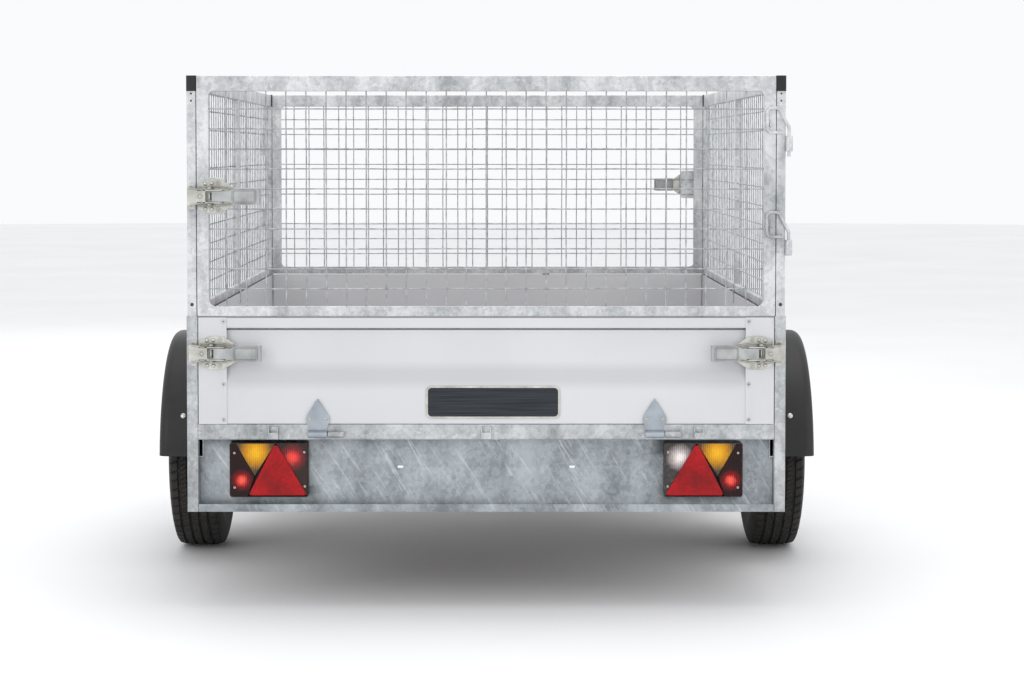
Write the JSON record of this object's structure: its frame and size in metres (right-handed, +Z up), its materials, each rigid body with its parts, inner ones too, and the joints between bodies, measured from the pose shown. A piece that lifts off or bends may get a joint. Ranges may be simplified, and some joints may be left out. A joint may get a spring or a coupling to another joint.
{
  "type": "livestock trailer",
  "caption": "Single-axle galvanised box trailer with mesh cage sides, swinging front and rear gates and a drop tailgate, for small livestock.",
  "frame": {"origin": "on the ground, under the middle of the overall box", "axes": "+Y forwards to the coupling, +X to the trailer's right, +Z up"},
  "size_m": [1.83, 3.149, 1.337],
  "materials": {
    "galvanised_steel": "hot-dip galvanised, mottled spangle",
    "mesh_wire": "galvanised welded wire",
    "coated_sheet": "satin grey coating",
    "zinc_latch": "zinc plated",
    "phenolic_plywood": "film faced, anti-slip",
    "mudguard_plastic": "moulded, fine grain",
    "tyre_rubber": "new rubber",
    "solid_rubber": "moulded",
    "painted_rim": "silver paint",
    "cast_hub": "zinc plated forging",
    "lamp_housing_plastic": "moulded",
    "lamp_lens": "clear, red and amber moulded lens",
    "lamp_bulb": "lamp glass"
  },
  "bodies": {
    "chassis": {"chassis_frame": "galvanised_steel", "floor_board": "phenolic_plywood", "rear_sill": "galvanised_steel", "light_panel": "galvanised_steel", "lower_posts": "galvanised_steel", "side_board_left": "coated_sheet", "side_board_right": "coated_sheet", "front_board": "coated_sheet", "tailgate_hinge_pins": "galvanised_steel", "lamp_housings": "lamp_housing_plastic", "lamp_lenses": "lamp_lens", "lamp_bulbs": "lamp_bulb", "cage_side_left": "galvanised_steel", "cage_side_right": "galvanised_steel", "post_caps": "mudguard_plastic", "side_meshes": "mesh_wire", "gate_hinge_sockets": "galvanised_steel", "latch_keepers": "zinc_latch", "axle_beam": "galvanised_steel", "torsion_rubbers": "solid_rubber", "mudguard_left": "mudguard_plastic", "mudguard_right": "mudguard_plastic", "mudguard_stays": "galvanised_steel", "drawbar": "galvanised_steel", "coupling_head": "zinc_latch", "jockey_outer_tube": "zinc_latch"},
    "tailgate": {"tailgate_panel": "coated_sheet", "tailgate_end_caps": "coated_sheet", "tailgate_screws": "zinc_latch", "tailgate_hinge_leaves": "galvanised_steel", "tailgate_latch_bases": "zinc_latch"},
    "tailgate_lever_left": {"tailgate_lever_left": "zinc_latch"},
    "tailgate_link_left": {"tailgate_link_left": "zinc_latch"},
    "tailgate_lever_right": {"tailgate_lever_right": "zinc_latch"},
    "tailgate_link_right": {"tailgate_link_right": "zinc_latch"},
    "rear_gate": {"rear_gate_frame": "galvanised_steel", "rear_gate_mesh": "mesh_wire", "rear_gate_latch_base": "zinc_latch"},
    "rear_gate_lever": {"rear_gate_lever": "zinc_latch"},
    "rear_gate_link": {"rear_gate_link": "zinc_latch"},
    "front_gate": {"front_gate_frame": "galvanised_steel", "front_gate_mesh": "mesh_wire", "front_gate_latch_base": "zinc_latch"},
    "front_gate_lever": {"front_gate_lever": "zinc_latch"},
    "front_gate_link": {"front_gate_link": "zinc_latch"},
    "arm_left": {"arm_left": "cast_hub"},
    "arm_right": {"arm_right": "cast_hub"},
    "wheel_left": {"hub_left": "cast_hub", "rim_left": "painted_rim", "tyre_left": "tyre_rubber", "wheel_bolts_left": "zinc_latch"},
    "wheel_right": {"hub_right": "cast_hub", "rim_right": "painted_rim", "tyre_right": "tyre_rubber", "wheel_bolts_right": "zinc_latch"},
    "coupling_lever": {"coupling_lever": "zinc_latch"},
    "jockey_crank": {"jockey_crank": "zinc_latch"},
    "jockey_inner": {"jockey_inner_tube": "zinc_latch"},
    "jockey_fork": {"jockey_fork": "zinc_latch"},
    "jockey_wheel": {"jockey_wheel": "solid_rubber"}
  },
  "joints": [
    {"name": "tailgate_drop", "type": "hinge", "parent": "chassis", "child": "tailgate", "pos_m": [0, -1.554, 0.441], "axis": [1, 0, 0], "range_deg": [0, 140]},
    {"name": "tailgate_lever_left_turn", "type": "hinge", "parent": "tailgate", "child": "tailgate_lever_left", "pos_m": [-0.6865, -1.565, 0.645], "axis": [0, 0, -1], "range_deg": [0, 120]},
    {"name": "tailgate_link_left_turn", "type": "hinge", "parent": "tailgate_lever_left", "child": "tailgate_link_left", "pos_m": [-0.6575, -1.565, 0.645], "axis": [0, 0, -1], "range_deg": [-120, 0]},
    {"name": "tailgate_lever_right_turn", "type": "hinge", "parent": "tailgate", "child": "tailgate_lever_right", "pos_m": [0.6865, -1.565, 0.645], "axis": [0, 0, 1], "range_deg": [0, 120]},
    {"name": "tailgate_link_right_turn", "type": "hinge", "parent": "tailgate_lever_right", "child": "tailgate_link_right", "pos_m": [0.6575, -1.565, 0.645], "axis": [0, 0, 1], "range_deg": [-120, 0]},
    {"name": "rear_gate_swing", "type": "hinge", "parent": "chassis", "child": "rear_gate", "pos_m": [0.7552, -1.5478, 1.037], "axis": [0, 0, 1], "range_deg": [0, 240]},
    {"name": "rear_gate_lever_turn", "type": "hinge", "parent": "rear_gate", "child": "rear_gate_lever", "pos_m": [-0.689, -1.5629, 1.037], "axis": [0, 0, -1], "range_deg": [0, 120]},
    {"name": "rear_gate_link_turn", "type": "hinge", "parent": "rear_gate_lever", "child": "rear_gate_link", "pos_m": [-0.66, -1.5629, 1.037], "axis": [0, 0, -1], "range_deg": [-120, 0]},
    {"name": "front_gate_swing", "type": "hinge", "parent": "chassis", "child": "front_gate", "pos_m": [-0.7552, 0.4868, 1.037], "axis": [0, 0, 1], "range_deg": [0, 240]},
    {"name": "front_gate_lever_turn", "type": "hinge", "parent": "front_gate", "child": "front_gate_lever", "pos_m": [0.689, 0.5019, 1.037], "axis": [0, 0, -1], "range_deg": [0, 120]},
    {"name": "front_gate_link_turn", "type": "hinge", "parent": "front_gate_lever", "child": "front_gate_link", "pos_m": [0.66, 0.5019, 1.037], "axis": [0, 0, -1], "range_deg": [-120, 0]},
    {"name": "suspension_left", "type": "hinge", "parent": "chassis", "child": "arm_left", "pos_m": [0, -0.408, 0.344], "axis": [-1, 0, 0], "range_deg": [0, 16], "stiffness_Nm_per_rad": 3000, "springref_deg": -5.16},
    {"name": "wheel_left_spin", "type": "hinge", "parent": "arm_left", "child": "wheel_left", "pos_m": [0, -0.5605, 0.281], "axis": [-1, 0, 0], "continuous": true},
    {"name": "suspension_right", "type": "hinge", "parent": "chassis", "child": "arm_right", "pos_m": [0, -0.408, 0.344], "axis": [-1, 0, 0], "range_deg": [0, 16], "stiffness_Nm_per_rad": 3000, "springref_deg": -5.16},
    {"name": "wheel_right_spin", "type": "hinge", "parent": "arm_right", "child": "wheel_right", "pos_m": [0, -0.5605, 0.281], "axis": [-1, 0, 0], "continuous": true},
    {"name": "coupling_lever_lift", "type": "hinge", "parent": "chassis", "child": "coupling_lever", "pos_m": [0, 1.4925, 0.429], "axis": [-1, 0, 0], "range_deg": [0, 55]},
    {"name": "jockey_crank_turn", "type": "hinge", "parent": "chassis", "child": "jockey_crank", "pos_m": [0.08, 1.0045, 0.645], "axis": [0, 0, 1], "range_deg": [0, 11700]},
    {"name": "jockey_lift", "type": "slide", "parent": "chassis", "child": "jockey_inner", "axis": [0, 0, 1], "range_m": [0, 0.13]},
    {"name": "jockey_swivel", "type": "hinge", "parent": "jockey_inner", "child": "jockey_fork", "pos_m": [0.08, 1.0045, 0.211], "axis": [0, 0, 1], "continuous": true},
    {"name": "jockey_wheel_spin", "type": "hinge", "parent": "jockey_fork", "child": "jockey_wheel", "pos_m": [0.08, 0.9745, 0.1], "axis": [-1, 0, 0], "continuous": true}
  ],
  "couplings": [
    {"joint": "tailgate_link_left_turn", "follows": "tailgate_lever_left_turn", "ratio": -1},
    {"joint": "tailgate_link_right_turn", "follows": "tailgate_lever_right_turn", "ratio": -1},
    {"joint": "rear_gate_link_turn", "follows": "rear_gate_lever_turn", "ratio": -1},
    {"joint": "front_gate_link_turn", "follows": "front_gate_lever_turn", "ratio": -1},
    {"joint": "jockey_lift", "follows": "jockey_crank_turn", "m_per_rad": 0.00063662}
  ]
}
